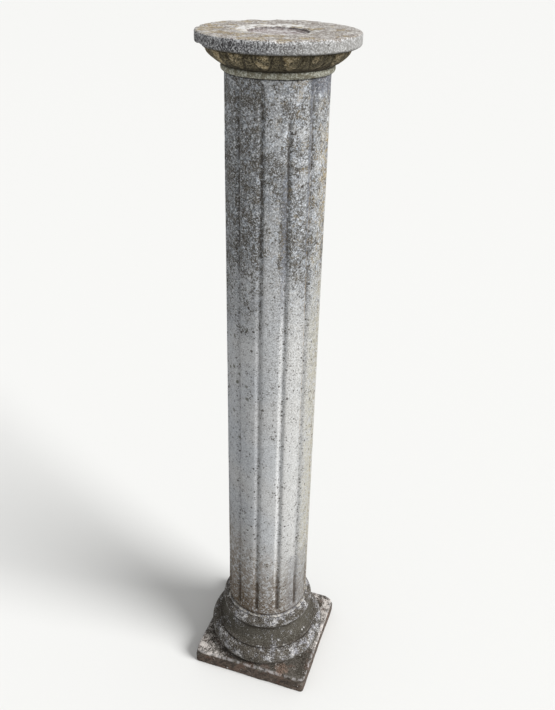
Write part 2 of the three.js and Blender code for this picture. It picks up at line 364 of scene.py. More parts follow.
def crust_places(points):
    """Where lichen has taken hold on the base, from 0 to 1, moulding by moulding."""
    x, y, z = np.moveaxis(points, -1, 0)
    radius = np.hypot(x, y)
    torus = smooth(z, PLINTH_HEIGHT + 8 * MM, PLINTH_HEIGHT + 22 * MM)
    torus = torus * smooth(FILLET_LOW + 6 * MM - z, 0, 8 * MM)
    scotia = smooth(z, FILLET_LOW, FILLET_LOW + 5 * MM) * smooth(SCOTIA_TOP - z, 0, 5 * MM)
    upper = smooth(z, SCOTIA_TOP + 3 * MM, SCOTIA_TOP + 9 * MM)
    rim = smooth(z, RIM_LOW, RIM_LOW + 2 * MM)
    on_top = (z > PLINTH_HEIGHT - 5 * MM) & (z < PLINTH_HEIGHT + 2 * MM) & (radius > TORUS_REACH * 0.85)
    from_left_corner = np.hypot(x + PLINTH_HALF, y + PLINTH_HALF)
    left_corner = smooth(from_left_corner, 85 * MM, 25 * MM)
    right_edge = smooth(x, PLINTH_HALF - 40 * MM, PLINTH_HALF - 8 * MM) * smooth(y, -80 * MM, 0)
    back = smooth(y, 60 * MM, 110 * MM)
    plinth_top = 0.1 + 0.95 * np.maximum(np.maximum(left_corner, right_edge), 0.6 * back)
    right = smooth(x * 0.95 - y * 0.3, -20 * MM, 100 * MM)
    crust = (0.43 + 0.24 * right) * torus + 0.24 * scotia + 0.6 * upper + 0.3 * rim
    crust = np.where(on_top, plinth_top, crust)
    return np.clip(crust + 0.14 * noise(points, 45 * MM, 91), 0, 1)


def make_base(material):
    """The base casting: a worn square plinth and its round mouldings, in one skin."""
    angles = np.linspace(0, math.tau, BASE_COLUMNS, endpoint=False)
    rings = plinth_rings(angles)
    all_round = np.ones_like(angles)
    rings += [(radius * all_round, height * all_round) for radius, height in base_rings()]
    radii, heights = np.array(rings).transpose(1, 0, 2)
    points = to_grid(radii, heights, angles)
    shape = hollows(points, 14, 1.6 * MM)
    hidden = (points[..., 2] < 0.4 * MM) | ((radii < FOOT_RADIUS * 0.99) & (heights > SCOTIA_TOP))
    weathering = (
        0.9 * MM * rough(points, 45 * MM, 11)
        + 0.45 * MM * rough(points, 9 * MM, 12)
        - 1.1 * MM * holes(points, 11 * MM, 0.35, 13)
    )
    points = pushed(points, np.where(hidden, 0, weathering))
    for index, (centre, reach, inward, depth) in enumerate(BASE_BREAKS, FIRST_BASE_BREAK_SEED):
        broken = dented(points, in_metres(centre), in_metres(reach), inward, depth * MM, index)
        points = np.where(hidden[..., None], points, broken)
    points[..., 2] = np.clip(points[..., 2], 0, BASE_HIGH.z)
    from_outline = radii - square_reach(angles, PLINTH_HALF, PLINTH_CORNER)
    edge = smooth(from_outline, -6 * MM, -2 * MM)
    edge = edge * smooth(heights, PLINTH_HEIGHT - 5 * MM, PLINTH_HEIGHT - 2 * MM)
    marks = {
        "hollow": shape,
        "crust": crust_places(points),
        "edge": np.where(heights <= PLINTH_HEIGHT + 0.1 * MM, edge, 0),
    }
    return build("worn_base", points, material, "base", marks)


def groove_depths(angles, heights):
    """How deep the grooves are at each point of the shaft, and which wall of a groove the point is on.

    The wall is 1 on a groove's left wall and on the rounded edge before it, -1 on its right wall and 0
    elsewhere, as seen from outside.
    """
    pitch = math.tau / GROOVE_COUNT
    turned = (angles - SHAFT_TURN) / pitch
    nearest = np.round(turned)
    flat = to_grid(np.full_like(angles, FOOT_RADIUS), heights, angles)
    wander = 0.6 * MM * noise(flat, 40 * MM, 21)
    offset = (turned - nearest) * pitch * FOOT_RADIUS + wander
    index = nearest.astype(int) % GROOVE_COUNT
    foot = SHAFT_LOW.z + GROOVE_FOOT_MARGIN
    head = SHAFT_HIGH.z - GROOVE_TOP_MARGIN
    worn_head = head - WORN_LOSS + 6 * MM * noise(flat, 12 * MM, 22)
    head = np.where(index == WORN_GROOVE, worn_head, head)
    half = GROOVE_WIDTH / 2 * (1 + 0.1 * noise(flat, 30 * MM, 23))
    from_end = np.clip(np.minimum(heights - foot, head - heights) / half, 0, 1)
    full = np.sqrt(1 - (1 - from_end) ** 2)
    signed = offset / (half * (0.45 + 0.55 * full))
    share = np.clip(np.abs(signed), 0, 1)
    # Two nearly flat walls that meet in a narrow round bottom
    bottom = 0.16
    section = np.clip((1 - np.sqrt(share ** 2 + bottom ** 2)) / (1 - bottom), 0, 1)
    shoulder = 0.07 * smooth(np.abs(signed), 1.9, 0.8) * (1 - section)
    fresh = 0.55 + 0.45 * smooth(SHAFT_HIGH.z - heights, 0, GROOVE_TOP_FADE)
    left_wall = smooth(signed, -1.6, -0.85) * smooth(signed, -0.3, -0.65)
    right_wall = smooth(signed, -0.15, 0.1) * smooth(signed, 0.9, 0.5)
    depth = GROOVE_DEPTH * full * fresh * (section + shoulder)
    return depth, full * (left_wall - right_wall)


def make_shaft(material):
    """The shaft: twelve narrow grooves between broad bands, pitted and worn at its edges."""
    columns = GROOVE_COUNT * SHAFT_COLUMNS_PER_GROOVE
    steps = np.arange(columns) / SHAFT_COLUMNS_PER_GROOVE
    crowding = 0.52
    warped = steps - crowding * np.sin(math.tau * steps) / (math.tau)
    angles = warped * math.tau / GROOVE_COUNT + SHAFT_TURN
    length = SHAFT_HIGH.z - SHAFT_LOW.z
    ease = 1.4 * MM
    small = ease * 0.3
    to_middle = 45 * MM
    inner = np.linspace(ease, length - ease, SHAFT_RINGS)
    heights = np.concatenate([[0, 0, small], inner, [length - small, length, length]])
    inset = np.concatenate([[to_middle, ease, small], np.zeros(SHAFT_RINGS), [small, ease, to_middle]])
    radii = FOOT_RADIUS + (TOP_RADIUS - FOOT_RADIUS) * heights / length - inset
    outline = [values[:, None] for values in (radii, heights + SHAFT_LOW.z, inset)]
    radii, heights, inset, angles = np.broadcast_arrays(*outline, angles)
    depth, wall = groove_depths(angles, heights)
    points = to_grid(radii - depth, heights, angles)
    side = inset < 0.5 * MM
    upper = smooth(heights, 0.65, 1.05)
    weathering = (
        0.35 * MM * rough(points, 60 * MM, 31)
        + (0.12 + 0.22 * upper) * MM * rough(points, 10 * MM, 32)
        - (0.5 + 0.6 * upper) * MM * holes(points, 16 * MM, 0.3, 33)
    )
    points = pushed(points, weathering * side)
    points[..., 2] = np.clip(points[..., 2], SHAFT_LOW.z, SHAFT_HIGH.z)
    marks = {"hollow": np.clip(depth / GROOVE_DEPTH, 0, 1), "wall": wall}
    return build("worn_shaft", points, material, "shaft", marks)


def ridge(value, middle, width):
    """A soft bump: 1 at the middle, falling away to nothing on both sides."""
    return np.exp(-((value - middle) / width) ** 2)


def egg_relief(angles, share):
    """How deep the echinus is cut at each point, and how far the point is up on an egg."""
    pitch = math.tau / EGG_COUNT
    turned = (angles - EGG_TURN) / pitch
    across = np.abs(turned - np.round(turned))
    rise = np.clip(share, 0, 1)
    widest_half, egg_length, least_half = 0.31, 0.95, 0.012
    egg_half = widest_half * np.sqrt(np.clip(1 - ((1 - rise) / egg_length) ** 2, 0, 1)) + least_half
    on_egg = np.clip(1 - (across / egg_half) ** 2, 0, 1)
    past = across - egg_half
    groove = ridge(past, 0.045, 0.036)
    shell = ridge(past, 0.11, 0.03) * (across < 0.47)
    dart = ridge(across, 0.5, 0.035 + 0.05 * (1 - rise))
    ends = smooth(share, 0.0, 0.14) * smooth(1 - share, 0.0, 0.1)
    floor = smooth(past, -0.02, 0.03)
    depth = 1.6 * MM * (1 - np.sqrt(on_egg)) * (1 - floor)
    depth += floor * 3.4 * MM + 1.8 * MM * groove - floor * (1.4 * MM * shell + 2.4 * MM * dart)
    return depth * ends, np.sqrt(on_egg) * ends


def capital_rings():
    """The capital's outline, from its underside over the slab's edge into the recess."""
    top = CAPITAL_HIGH.z
    low = CAPITAL_LOW.z
    rings = [(TOP_RADIUS * 0.4, low), (TOP_RADIUS * 0.9, low), (TOP_RADIUS - 0.8 * MM, low)]
    bead_depth = BEAD_RADIUS - TOP_RADIUS
    for turn in np.radians(np.linspace(-84, 62, 14)):
        lift = 0.6 * BEAD_HEIGHT
        stretch = 0.6 if turn < 0 else 0.42
        radius = TOP_RADIUS - 0.4 * MM + bead_depth * math.cos(turn)
        rings.append((radius, low + lift + BEAD_HEIGHT * stretch * math.sin(turn)))
    for share in np.linspace(0.0, 1, 32) ** 1.15:
        radius = ECHINUS_FOOT - 1.2 * MM + ECHINUS_PROJECTION * (1 - (1 - share) ** 2)
        rings.append((radius, BEAD_TOP + share * (ECHINUS_HEIGHT - 0.4 * MM)))
    under_wear, top_wear = 4.5 * MM, 3.2 * MM
    under_edge = SLAB_RADIUS - under_wear
    rings += line_rings((ECHINUS_FOOT + ECHINUS_PROJECTION, SLAB_LOW), (under_edge, SLAB_LOW), 5)
    rings += arc_rings((under_edge, SLAB_LOW + under_wear), under_wear, under_wear, -90, -8, 6)
    rings += line_rings((SLAB_RADIUS, SLAB_LOW + under_wear), (SLAB_RADIUS, top - top_wear), 8)
    rings += arc_rings((SLAB_RADIUS - top_wear, top - top_wear), top_wear, top_wear, 0, 90, 6)
    rings += line_rings((SLAB_RADIUS - top_wear - 1.5 * MM, top), (LIP_RADIUS + 3 * MM, top), 34)
    rings += line_rings((LIP_RADIUS + 3 * MM, top), (LIP_RADIUS, top - 0.5 * MM), 3)
    rings += line_rings((LIP_RADIUS, top - 0.5 * MM), (RECESS_RADIUS + 1 * MM, top - 1.6 * MM), 10)
    floor = top - RECESS_DEPTH
    wall = RECESS_RADIUS
    rings += line_rings((wall, top - 2.2 * MM), (wall - 0.8 * MM, floor + 2.4 * MM), 3)
    rings += line_rings((wall - 1.2 * MM, floor + 2 * MM), (wall - 3.6 * MM, floor + 1.6 * MM), 3)
    rings += line_rings((wall - 4 * MM, floor + 1.2 * MM), (wall - 5 * MM, floor), 2)
    rings += line_rings((wall - 5 * MM, floor), (4 * MM, floor), 22)
    return rings


# Breaks on the capital: angle, radius and height in degrees and millimetres, reach, depth
FIRST_CAPITAL_BREAK_SEED = 70
CAPITAL_BREAKS = [
    (118, 115, 1200, (14, 9, 5), 5.0),
    (104, 116, 1199, (12, 6, 5), 2.6),
    (140, 116, 1198, (16, 6, 5), 2.2),
    (-142, 116, 1183, (20, 12, 7), 3.0),
    (-70, 116, 1200, (12, 4, 3), 1.4),
    (-30, 116, 1199, (14, 5, 3), 1.6),
    (26, 116, 1184, (12, 8, 5), 2.4),
    (70, 116, 1199, (10, 5, 4), 2.0),
    (-172, 115, 1199, (11, 6, 5), 2.4),
    (-15, 104, 1170, (9, 9, 7), 2.6),
    (-88, 97, 1163, (7, 7, 6), 1.6),
]


def make_capital(material):
    """The capital: a bead, a worn echinus of eggs and darts, and a round slab with its recess."""
    columns = EGG_COUNT * CAPITAL_COLUMNS_PER_EGG
    angles = np.linspace(0, math.tau, columns, endpoint=False)
    outline = np.array(capital_rings())
    radii, heights, angles = np.broadcast_arrays(outline[:, :1], outline[:, 1:], angles)
    share = (heights - BEAD_TOP) / ECHINUS_HEIGHT
    on_echinus = (share >= 0) & (share <= 1) & (radii < ECHINUS_FOOT + ECHINUS_PROJECTION)
    depth, egg = egg_relief(angles, share)
    worn = 0.75 + 0.25 * noise(to_grid(radii, heights, angles), 28 * MM, 51)
    depth = np.where(on_echinus, depth * worn, 0)
    egg = np.where(on_echinus, egg, 0)
    points = to_grid(radii - depth, heights, angles)
    ring_marks = 0.35 * MM * np.sin(radii / (2.4 * MM)) * smooth(radii, 70 * MM, 30 * MM)
    on_top = heights > CAPITAL_HIGH.z - 7 * MM
    in_middle = on_top & (radii < SLAB_RADIUS - 8 * MM)
    hidden = heights < CAPITAL_LOW.z + 0.2 * MM
    strength = np.where(on_echinus, 0.9, np.where(in_middle, 0.35, 0.5))
    weathering = (
        0.5 * MM * rough(points, 50 * MM, 52)
        + strength * MM * rough(points, 7 * MM, 53)
        - 1.0 * MM * holes(points, 9 * MM, 0.35, 54)
        + np.where(in_middle, ring_marks, 0)
    )
    points = pushed(points, np.where(hidden, 0, weathering))
    for index, (turn, radius, height, reach, deep) in enumerate(CAPITAL_BREAKS, FIRST_CAPITAL_BREAK_SEED):
        x, y = math.cos(math.radians(turn)), math.sin(math.radians(turn))
        centre = in_metres([radius * x, radius * y, height])
        # A break at the slab's top goes downward, one below it goes upward
        inward = (-x, -y, -0.7 if centre[2] > CAPITAL_HIGH.z - 10 * MM else 0.6)
        wide, thick, tall = in_metres(reach)
        turned_reach = (abs(y) * wide + abs(x) * thick, abs(x) * wide + abs(y) * thick, tall)
        broken = dented(points, centre, turned_reach, inward, deep * MM, index)
        points = np.where(hidden[..., None], points, broken)
    points[..., 2] = np.clip(points[..., 2], CAPITAL_LOW.z, CAPITAL_HIGH.z + 0.4 * MM)
    marks = {"hollow": np.clip(depth / (5 * MM), 0, 1), "egg": egg}
    return build("worn_capital", points, material, "capital", marks)


def paint(red, green, blue):
    """A colour given as the eye's 0 to 255 values, turned into the renderer's linear ones."""
    def linear(value):
        share = value / 255
        return share / 12.92 if share <= 0.04045 else ((share + 0.055) / 1.055) ** 2.4
    return (linear(red), linear(green), linear(blue), 1.0)


# Turns round the axis in degrees from +X, where the photograph shows each place
LEFT_SIDE = -162
SECOND_GROOVE = -92
PLAIN_BAND = -78
THIRD_GROOVE = -63
FOURTH_GROOVE = -33
FIFTH_GROOVE = -3
RIGHT_SIDE = 18

# The noise runs askew to the column, so that no grid shows along its grooves
ASKEW = (0.7, 0.4, 1.1)
SEED_STEPS = (1.37, 0.71, 2.13)

# The Mix node's sockets for colours
MIX_SHARE, MIX_FIRST, MIX_SECOND, MIX_RESULT = 0, 6, 7, 2

SPECULAR = 0.25
DOT_CORE = 0.55
STRIP_CORE = 0.4


class Stone:
    """Builds one stone finish, coat by coat. Cloud and dot sizes are in millimetres."""

    def __init__(self, name):
        self.material = bpy.data.materials.new(name)
        self.material.use_nodes = True
        self.tree = self.material.node_tree
        self.tree.nodes.clear()
        self.place = self.node("TexCoord").outputs["Object"]
        split = self.node("SeparateXYZ", {"Vector": self.place})
        self.x, self.y, self.z = split.outputs
        self.askew = self.node("Mapping", {"Vector": self.place, "Rotation": ASKEW}).outputs[0]
        self.colour = None

    def node(self, kind, inputs=None, **settings):
        made = self.tree.nodes.new("ShaderNode" + kind)
        for setting, value in settings.items():
            setattr(made, setting, value)
        for socket, value in (inputs or {}).items():
            self.feed(made.inputs[socket], value)
        return made

    def feed(self, socket, value):
        if isinstance(value, bpy.types.NodeSocket):
            self.tree.links.new(value, socket)
        else:
            socket.default_value = value

    def math(self, operation, values):
        """Joins any number of values by one kind of arithmetic, first to last."""
        total, *others = values
        for other in others:
            total = self.node("Math", {0: total, 1: other}, operation=operation).outputs[0]
        return total

    def add(self, *values):
        return self.math("ADD", values)

    def times(self, *values):
        return self.math("MULTIPLY", values)

    def most(self, *values):
        return self.math("MAXIMUM", values)

    def invert(self, value):
        return self.math("SUBTRACT", (1.0, value))

    def vector(self, operation, first, second=(0, 0, 0), output="Vector"):
        made = self.node("VectorMath", {0: first, 1: second}, operation=operation)
        return made.outputs[output]

    def between(self, value, low, high):
        """Rises smoothly from 0 at low to 1 at high, whichever of them is greater."""
        falls = low > high
        inputs = {
            "Value": value,
            "From Min": min(low, high),
            "From Max": max(low, high),
            "To Min": 1.0 if falls else 0.0,
            "To Max": 0.0 if falls else 1.0,
        }
        made = self.node("MapRange", inputs, interpolation_type="SMOOTHSTEP")
        return made.outputs["Result"]

    def band(self, value, low, full_from, full_to, high):
        """Rises from 0 at low to 1, stays there between the middle values, and is 0 again at high."""
        return self.times(self.between(value, low, full_from), self.between(value, high, full_to))

    def near(self, value, limit, *steps):
        """Like between or band, with its limits in millimetres from a known height or radius."""
        limits = [limit + step * MM for step in steps]
        return self.between(value, *limits) if len(limits) == 2 else self.band(value, *limits)

    def shifted(self, seed):
        """The place that noise is read at, moved to a fresh part of it for each seed."""
        return self.vector("ADD", self.askew, tuple(seed * step for step in SEED_STEPS))

    def cloud(self, size, seed, detail=4, roughness=0.55, stretch=None):
        """Cloudy noise, about 0.5, with lumps of that size."""
        vector = self.shifted(seed)
        if stretch:
            vector = self.vector("MULTIPLY", vector, stretch)
        inputs = {"Vector": vector, "Scale": 1000 / size, "Detail": detail, "Roughness": roughness}
        return self.node("TexNoise", inputs).outputs[0]

    def sway(self, cloud, reach):
        """How far a cloud is above or below its middle, times a reach."""
        return self.times(self.add(cloud, -0.5), reach)

    def dots(self, size, share, radius, seed):
        """Scattered dots: 1 inside a dot, 0 outside, with only a share of the cells holding one."""
        inputs = {"Vector": self.shifted(seed), "Scale": 1000 / size}
        cells = self.node("TexVoronoi", inputs).outputs
        near = self.between(cells["Distance"], radius, radius * DOT_CORE)
        split = self.node("SeparateColor", {"Color": cells["Color"]})
        return self.times(near, self.math("LESS_THAN", (split.outputs[0], share)))

    def mark(self, name):
        """A value that the mesh carries from point to point."""
        return self.node("Attribute", attribute_name=name).outputs["Fac"]

    def marks(self, *names):
        return [self.mark(name) for name in names]

    def upward(self):
        """How far the surface faces up, from -1 to 1."""
        normal = self.node("NewGeometry").outputs["Normal"]
        return self.node("SeparateXYZ", {"Vector": normal}).outputs[2]

    def toward(self, turn, low, high):
        """Rises from 0 to 1 as the place comes from low to high millimetres out towards one side."""
        a = math.radians(turn)
        out = self.add(self.times(self.x, math.cos(a)), self.times(self.y, math.sin(a)))
        return self.between(out, low * MM, high * MM)

    def around(self, turn):
        """From 0 to 1 as the place turns from the far side of the column towards that turn."""
        return self.toward(turn, -80, 80)

    def flat(self):
        """The place without its height."""
        return self.node("CombineXYZ", {"X": self.x, "Y": self.y, "Z": 0.0}).outputs[0]

    def far(self):
        """The distance from the column's axis, in metres."""
        return self.vector("LENGTH", self.flat(), output="Value")

    def strip(self, turn, half_width):
        """An upright strip at that turn, its half width in degrees, soft at both sides."""
        a = math.radians(turn)
        way = (math.cos(a), math.sin(a), 0.0)
        along = self.vector("DOT_PRODUCT", self.vector("NORMALIZE", self.flat()), way, output="Value")
        edge, core = (math.cos(math.radians(half_width * part)) for part in (1, STRIP_CORE))
        return self.between(along, edge, core)

    def mix(self, share, first, second):
        """Goes from one colour to another, each a tint or a node's output."""
        made = self.node("Mix", data_type="RGBA")
        self.feed(made.inputs[MIX_SHARE], share)
        for socket, colour in ((MIX_FIRST, first), (MIX_SECOND, second)):
            self.feed(made.inputs[socket], paint(*colour) if isinstance(colour, tuple) else colour)
        return made.outputs[MIX_RESULT]

    def over(self, base, *layers):
        """Lays colours over one another, each as strongly as all of its shares multiplied."""
        for tint, *shares in layers:
            base = self.mix(self.times(*shares), base, tint)
        return base

    def coat(self, tint, *shares):
        """Lays one more tint or colour over the finish so far."""
        self.colour = self.over(self.colour, (tint, *shares))

    def finish(self, roughness, relief, depth):
        """Joins colour, roughness and a fine relief, depth metres deep, to the shader."""
        bump = self.node("Bump", {"Strength": 1.0, "Distance": depth, "Height": relief})
        inputs = {"Base Color": self.colour, "Roughness": roughness, "Normal": bump.outputs[0]}
        shader = self.node("BsdfPrincipled", inputs)
        shader.inputs["Specular IOR Level"].default_value = SPECULAR
        self.node("OutputMaterial", {"Surface": shader.outputs[0]})
        return self.material


def shaft_soot(s, left):
    """The upper part of the shaft, how sooty it is, and the gloomiest patch at the left, from 0 to 1."""
    right_rise = s.times(s.toward(-28, 52, 75), 0.045)
    height = s.add(s.z, s.sway(s.cloud(70, 4), 0.24), s.times(left, 0.05), right_rise)
    upper = s.between(height, 0.77, 0.95)
    patches = s.add(s.times(s.cloud(34, 6, detail=3), 0.55), s.times(s.cloud(12, 18, detail=3), 0.45))
    left_patch = s.times(left, s.band(s.z, 0.9, 0.96, 1.01, 1.06))
    right_patch = s.times(s.toward(-42, 68, 75), s.band(s.z, 0.8, 0.86, 0.91, 0.97))
    gloom = s.add(0.42, s.times(left, 0.64), s.sway(patches, 4.4), s.times(left_patch, 0.66))
    gloom = s.add(gloom, s.times(right_patch, 0.5), s.times(s.between(s.z, 1.06, 1.12), 0.22))
    band_height = s.add(s.between(s.z, 1.0, 0.965), s.times(s.between(s.z, 1.01, 1.06), 0.6))
    clean_band = s.times(s.toward(PLAIN_BAND, 74.2, 75), band_height)
    soot = s.times(upper, s.between(gloom, -0.1, 1.1), s.invert(s.times(clean_band, 0.75)))
    return upper, soot, left_patch


def shaft_stone():
    """Pale cast stone: clean and grey below, brown at the foot, dark with lichen above."""
    s = Stone("shaft_stone_finish")
    hollow, wall, small_hollows = s.marks("hollow", "wall", "small_hollows")
    left = s.around(LEFT_SIDE)
    right = s.invert(left)
    grain = s.cloud(1.9, 2, detail=2, roughness=0.7)
    mottle = s.cloud(7, 3, detail=5, roughness=0.65)
    specks = s.cloud(3.6, 5, detail=2, roughness=0.62)
    upper, soot, left_patch = shaft_soot(s, left)
    s.colour = s.mix(s.between(s.cloud(110, 1), 0.4, 0.62), (161, 165, 171), (170, 171, 173))
    s.coat((171, 169, 162), right, 0.6)
    s.coat((190, 192, 194), s.between(mottle, 0.5, 0.64), 0.3)
    s.coat((138, 138, 137), s.between(mottle, 0.5, 0.36), 0.3)
    # Towards the foot the sides are dirtier than the front
    low = s.between(s.add(s.z, s.sway(mottle, 0.4)), 0.62, 0.3)
    sides = s.invert(s.toward(PLAIN_BAND + 2, 66, 76))
    s.coat((120, 118, 113), low, sides, 0.27)
    # A pale band, a dirty left edge, painted light in the second groove, olive at the right, and painted
    # light and shade on the grooves' walls
    s.coat((190, 189, 186), s.toward(-47, 73.8, 75.2), s.between(s.z, 0.2, 0.34), 0.5)
    dirtier_below = s.add(0.25, s.times(s.between(s.z, 0.46, 0.3), 0.35))
    s.coat((104, 102, 92), s.toward(-168, 71.5, 76.5), dirtier_below)
    # Painted light in the second groove, lifting the shade that falls in it
    s.coat((204, 204, 203), s.toward(SECOND_GROOVE + 1, 73.5, 75.2), s.between(hollow, 0.2, 0.7), 0.4)
    s.coat((138, 129, 96), s.toward(6, 60, 73.5), s.between(mottle, 0.4, 0.54), 0.5)
    # Painted highlight on the grooves' left walls, which face the sun, partly paler clean stone
    pale_and_highlit_wall = s.times(s.between(wall, 0.1, 0.9), s.invert(s.times(upper, 0.5)))
    s.coat((212, 212, 211), pale_and_highlit_wall, s.toward(THIRD_GROOVE, 70, 73.5), 0.44)
    # Painted shade on the grooves' right walls, which face away from the sun
    s.coat((118, 118, 120), s.between(wall, -0.2, -0.9), s.add(0.12, s.times(upper, 0.3)))

    # Soot, crusts and specks of the upper part, and painted shadow under the capital
    s.coat((92, 96, 101), soot, 0.84)
    s.coat((98, 102, 108), upper, s.add(0.1, s.times(right, 0.22)))
    s.coat((58, 60, 62), soot, left, 0.26)
    s.coat((50, 50, 48), left_patch, 0.22)
    fine_crust = s.times(s.cloud(5, 15, detail=3, roughness=0.7), 0.7)
    crust_cloud = s.add(fine_crust, s.times(s.cloud(15, 19, detail=2), 0.3))
    crust = s.times(s.between(crust_cloud, 0.535, 0.585), upper)
    s.coat((168, 175, 184), crust, 0.66)
    light = s.between(s.cloud(2.6, 17, detail=1.5), 0.555, 0.605)
    s.coat((198, 201, 204), light, s.add(0.2, s.times(upper, 0.42)))
    clusters = s.sway(s.cloud(13, 20, detail=3, stretch=(1, 1, 0.6)), 0.8)
    smooth_top = s.times(s.toward(-70, 70.5, 74), s.between(s.z, 1.0, 1.05), -0.035)
    speck_level = s.add(specks, clusters, s.sway(soot, 0.18), smooth_top)
    s.coat((54, 48, 37), s.between(speck_level, 0.578, 0.604), 0.86)
    flecks = s.between(s.cloud(2.6, 21, detail=1.5), 0.53, 0.58)
    more_right = s.add(0.35, s.times(s.toward(-35, 45, 70), 0.65))
    s.coat((92, 90, 86), flecks, more_right, s.between(s.z, 0.48, 0.72), 0.5)
    ochre = s.times(s.between(s.cloud(16, 7, detail=5), 0.53, 0.61), upper, right)
    s.coat((112, 94, 52), ochre, s.between(s.cloud(3, 8), 0.47, 0.54), 0.66)
    yellow_edge = s.times(s.toward(RIGHT_SIDE, 58, 75), s.band(s.z, 0.84, 0.97, 1.05, 1.09))
    s.coat((138, 116, 58), yellow_edge, s.between(mottle, 0.46, 0.58), 0.66)
    # Painted shadow of the capital on the shaft's top, on the side towards the sun
    painted_capital_shadow = s.between(s.add(s.z, s.sway(mottle, 0.06)), 1.112, 1.13)
    s.coat((70, 74, 86), painted_capital_shadow, s.toward(-4, 61, 71.5), 0.72)
    s.coat((104, 102, 100), s.between(grain, 0.53, 0.61), 0.5)
    s.coat((208, 210, 212), s.between(grain, 0.47, 0.38), 0.4)

    # Painted shade, dirt, streaks and rust in the grooves
    # Painted shade and dirt in the grooves' bottoms
    bottom = s.times(s.between(hollow, 0.6, 0.98), s.between(wall, 0.3, -0.05))
    shade_and_dirt = s.between(s.cloud(9, 9, detail=5), 0.4, 0.58)
    s.coat((62, 58, 54), bottom, shade_and_dirt, s.add(0.2, s.times(upper, 0.68)))
    third_top = s.times(s.strip(THIRD_GROOVE + 1, 6), s.band(s.z, 0.91, 0.95, 1.01, 1.05))
    second_top = s.times(s.strip(SECOND_GROOVE, 6), s.between(s.z, 1.02, 1.06))
    fourth_top = s.times(s.strip(FOURTH_GROOVE, 4), s.between(s.z, 1.05, 1.09))
    streaks = s.most(third_top, second_top, fourth_top)
    s.coat((66, 62, 54), streaks, s.between(s.cloud(6, 36, roughness=0.7), 0.46, 0.56), 0.6)
    # Painted shade in blue-grey along the right walls of the third and fourth grooves
    third_shade = s.times(s.strip(THIRD_GROOVE + 2.5, 4), s.band(s.z, 0.78, 0.84, 1.0, 1.04))
    fourth_shade = s.times(s.strip(FOURTH_GROOVE + 1, 3.6), s.between(s.z, 0.84, 0.92))
    s.coat((84, 88, 98), s.most(third_shade, fourth_shade), s.between(specks, 0.62, 0.5), 0.5)
    rust_line = s.times(s.between(hollow, 0.3, 0.75), s.between(s.cloud(12, 10, detail=6), 0.4, 0.52))
    fourth_groove = s.times(s.toward(FOURTH_GROOVE, 70, 73.5), s.band(s.z, 0.35, 0.7, 0.97, 1.05))
    fifth_groove = s.times(s.toward(FIFTH_GROOVE, 71.2, 74.5), s.between(s.z, 0.22, 0.36))
    rust_place = s.most(s.times(fourth_groove, s.between(wall, -0.4, 0.2)), fifth_groove)
    s.coat((130, 108, 68), rust_line, rust_place, s.between(specks, 0.36, 0.52), 0.85)

    # Pits, and blots on the left
    crowd = s.between(s.add(s.cloud(45, 16), s.times(left, 0.04)), 0.46, 0.58)
    big_pits = s.times(s.dots(9, 0.45, 0.27, 11), crowd)
    small_pits = s.dots(6, 0.24, 0.24, 12)
    seams = s.times(s.dots(6.5, 0.6, 0.34, 13), s.between(hollow, 0.5, 0.8))
    seams = s.times(seams, s.between(s.cloud(38, 31), 0.4, 0.52))
    plain_band = s.times(s.toward(PLAIN_BAND, 74.2, 75), s.between(s.z, 0.24, 0.32))
    scattered = s.times(s.most(big_pits, small_pits), s.invert(s.times(plain_band, 0.8)))
    all_pits = s.most(scattered, seams)
    s.coat((62, 57, 52), all_pits, 0.86)
    blots = s.times(s.dots(15, 0.34, 0.3, 32), s.between(mottle, 0.36, 0.5))
    s.coat((78, 78, 66), blots, s.toward(-134, 45, 70), s.band(s.z, 0.48, 0.56, 0.78, 0.84), 0.85)

    # Earth at the foot
    foot_level = s.add(s.z, s.sway(s.cloud(30, 14, detail=6, roughness=0.7), -0.2))
    wide = s.between(s.add(foot_level, s.times(left, -0.06)), 0.34, 0.17)
    more_left = s.add(0.5, s.times(left, 0.4))
    s.coat((94, 80, 62), wide, more_left, s.between(mottle, 0.42, 0.54), 0.9)
    foot = s.times(s.between(foot_level, 0.24, 0.165), s.between(specks, 0.41, 0.52))
    s.coat((76, 62, 45), foot, s.add(0.62, s.times(left, 0.34)))
    s.coat((112, 114, 120), s.toward(-18, 66, 75), s.between(foot_level, 0.3, 0.25), 0.36)
    s.coat((54, 44, 33), s.between(foot_level, 0.28, 0.18), s.between(hollow, 0.2, 0.8), 0.75)
    s.coat((52, 42, 32), s.between(s.z, 0.148, 0.142), 0.7)
    # Painted shade in the small hollows of the surface
    s.coat((72, 66, 60), s.between(small_hollows, 0.3, 0.9), 0.45)
    relief = s.add(s.times(grain, 0.4), s.times(mottle, 0.5), s.times(all_pits, -1.2))
    return s.finish(s.add(0.82, s.times(grain, 0.16)), relief, 0.6 * MM)


